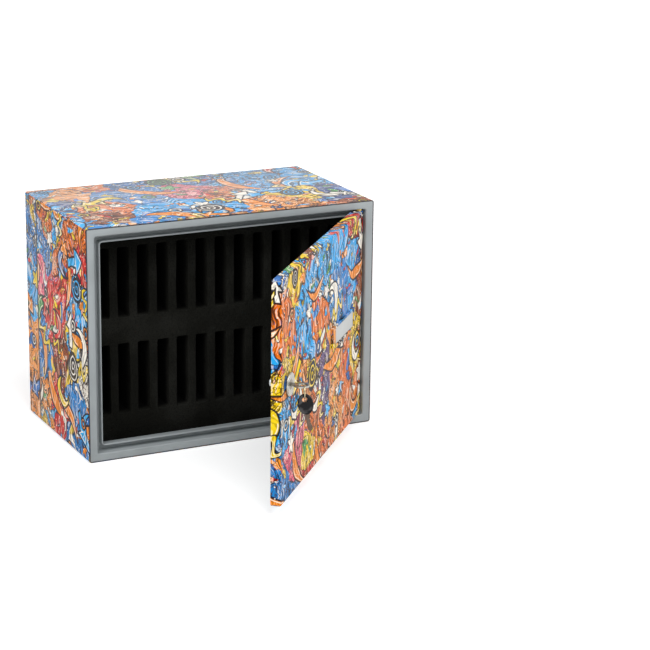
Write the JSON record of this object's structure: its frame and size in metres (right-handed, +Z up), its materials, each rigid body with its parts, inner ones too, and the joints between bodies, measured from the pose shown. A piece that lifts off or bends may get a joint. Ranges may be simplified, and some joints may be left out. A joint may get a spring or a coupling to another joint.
{
  "type": "cell phone locker box",
  "caption": "Steel cabinet with foam slots for phones in two rows, a hinged front door with a cam lock, a label holder, and a spare key hanging from the key in the lock.",
  "frame": {"origin": "middle of the underside, on the surface that the cabinet stands on", "axes": "+Z up, +X to the right as seen from the front, +Y to the back; the door faces -Y when it is shut"},
  "size_m": [0.38, 0.4747, 0.29],
  "materials": {
    "printed_film": "satin",
    "grey_enamel": "satin",
    "foam": "matte",
    "bush_brass": "satin",
    "zinc_steel": "satin",
    "nickel": "polished",
    "key_steel": "polished",
    "label_card": "satin",
    "black_plastic": "satin"
  },
  "bodies": {
    "cabinet": {"casing_shell": "printed_film", "rear_panel": "printed_film", "front_frame": "grey_enamel", "foam_base": "foam", "foam_shelf": "foam", "foam_top": "foam", "foam_dividers_lower": "foam", "foam_dividers_upper": "foam", "foam_backing": "foam", "hinge_bush_top": "bush_brass", "hinge_bush_bottom": "bush_brass"},
    "door": {"door_panel": "printed_film", "hinge_bracket_top": "zinc_steel", "hinge_bracket_bottom": "zinc_steel", "hinge_pin_top": "zinc_steel", "hinge_pin_bottom": "zinc_steel", "label_holder": "printed_film", "label_card": "label_card", "lock_housing": "nickel", "lock_nut": "zinc_steel"},
    "lock_core": {"lock_plug": "nickel", "lock_cam": "zinc_steel", "cam_washer": "zinc_steel", "cam_screw": "zinc_steel"},
    "key": {"key": "key_steel"},
    "key_ring": {"key_ring": "key_steel"},
    "spare_key": {"spare_key_blade": "key_steel", "spare_key_head": "black_plastic"}
  },
  "joints": [
    {"name": "door_swing", "type": "hinge", "parent": "cabinet", "child": "door", "pos_m": [0.171, -0.1025, 0], "axis": [0, 0, 1], "range_deg": [-48, 52]},
    {"name": "lock_turn", "type": "hinge", "parent": "door", "child": "lock_core", "pos_m": [-0.03807, -0.34217, 0.15], "axis": [0.7431, -0.6691, 0], "range_deg": [0, 90]},
    {"name": "key_pull", "type": "slide", "parent": "lock_core", "child": "key", "axis": [0.7431, -0.6691, 0], "range_m": [0, 0.022]},
    {"name": "ring_swing", "type": "hinge", "parent": "key", "child": "key_ring", "pos_m": [-0.02717, -0.35964, 0.15], "axis": [0.9272, -0.3746, 0], "range_deg": [-12, 12]},
    {"name": "spare_key_swing", "type": "hinge", "parent": "key_ring", "child": "spare_key", "pos_m": [-0.02717, -0.35964, 0.1375], "axis": [-0.3746, -0.9272, 0], "range_deg": [-25, 30]}
  ]
}
